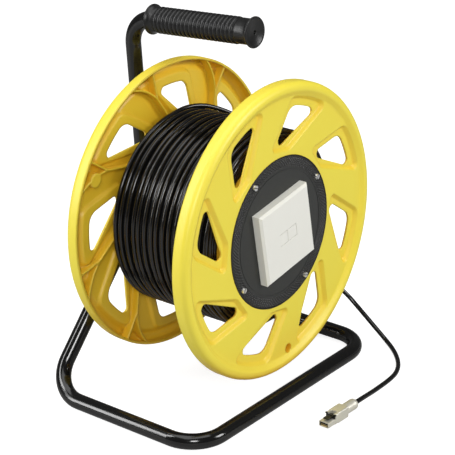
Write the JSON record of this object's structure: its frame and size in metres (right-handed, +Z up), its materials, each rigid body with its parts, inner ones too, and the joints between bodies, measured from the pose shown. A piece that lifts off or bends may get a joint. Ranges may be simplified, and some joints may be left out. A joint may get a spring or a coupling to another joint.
{
  "type": "network cable reel on a floor stand",
  "caption": "Drum reel of network cable on a bent tube floor stand with a ribbed grip, a wall style network outlet in the drum's face and a free lead with a modular plug",
  "frame": {"origin": "on the floor below the middle of the stand, at the bottom centre of the reel's box without its free lead and plug", "axes": "X to the right as seen from the outlet side, Y from the outlet to the back along the drum's axis, Z up"},
  "size_m": [0.3359, 0.2804, 0.4064],
  "materials": {
    "yellow_moulding": "moulded, fine texture",
    "black_coated_tube": "powder coated, satin",
    "grip_rubber": "soft, matte",
    "cable_sheath": "smooth sheath",
    "plate_plastic": "dark grey, knurled",
    "outlet_plastic": "cream",
    "dark_plastic": "black",
    "plug_nickel": "nickel plated die casting",
    "zinc_steel": "zinc plated",
    "bearing_bronze": "sintered",
    "contact_gold": "gold plated"
  },
  "bodies": {
    "stand": {"base_tube": "black_coated_tube", "upright_tube": "black_coated_tube", "hub_plate": "black_coated_tube", "axle": "zinc_steel", "thrust_washer": "zinc_steel", "axle_washer": "zinc_steel", "axle_lock_nut": "zinc_steel", "handle_grip": "grip_rubber", "lead_cable": "cable_sheath", "plug_collar": "plug_nickel", "plug_shell": "plug_nickel", "plug_bezel": "dark_plastic", "plug_nose": "plug_nickel", "plug_insulator": "dark_plastic", "plug_contacts": "contact_gold"},
    "drum": {"front_flange": "yellow_moulding", "rear_flange": "yellow_moulding", "core_tube": "yellow_moulding", "core_grommet": "grip_rubber", "cable_winding": "cable_sheath", "insert_plate": "plate_plastic", "insert_screws": "zinc_steel", "hub_screws": "zinc_steel", "rear_hub": "plate_plastic", "bush_front": "bearing_bronze", "bush_rear": "bearing_bronze", "socket_back_box": "outlet_plastic", "socket_frame": "zinc_steel", "socket_frame_screws": "zinc_steel", "jack_module": "dark_plastic", "socket_cover": "outlet_plastic", "inner_cable_tail": "cable_sheath"},
    "port_flap_left": {"port_flap_left": "outlet_plastic"},
    "port_flap_right": {"port_flap_right": "outlet_plastic"},
    "plug_latch": {"plug_latch": "dark_plastic"}
  },
  "joints": [
    {"name": "drum_spin", "type": "hinge", "parent": "stand", "child": "drum", "pos_m": [0, -0.01605, 0.187], "axis": [0, 1, 0], "continuous": true},
    {"name": "port_flap_left_swing", "type": "hinge", "parent": "drum", "child": "port_flap_left", "pos_m": [-0.00807, -0.09955, 0.19077], "axis": [0.9851, 0, 0.1719], "range_deg": [0, 75], "stiffness_Nm_per_rad": 0.001, "springref_deg": -17.19},
    {"name": "port_flap_right_swing", "type": "hinge", "parent": "drum", "child": "port_flap_right", "pos_m": [0.00631, -0.09955, 0.19328], "axis": [0.9851, 0, 0.1719], "range_deg": [0, 75], "stiffness_Nm_per_rad": 0.001, "springref_deg": -17.19},
    {"name": "plug_latch_press", "type": "hinge", "parent": "stand", "child": "plug_latch", "pos_m": [-0.01278, -0.16555, 0.0093], "axis": [-0.0305, -0.9995, 0], "range_deg": [0, 4.5], "stiffness_Nm_per_rad": 0.004, "springref_deg": -5.73}
  ]
}
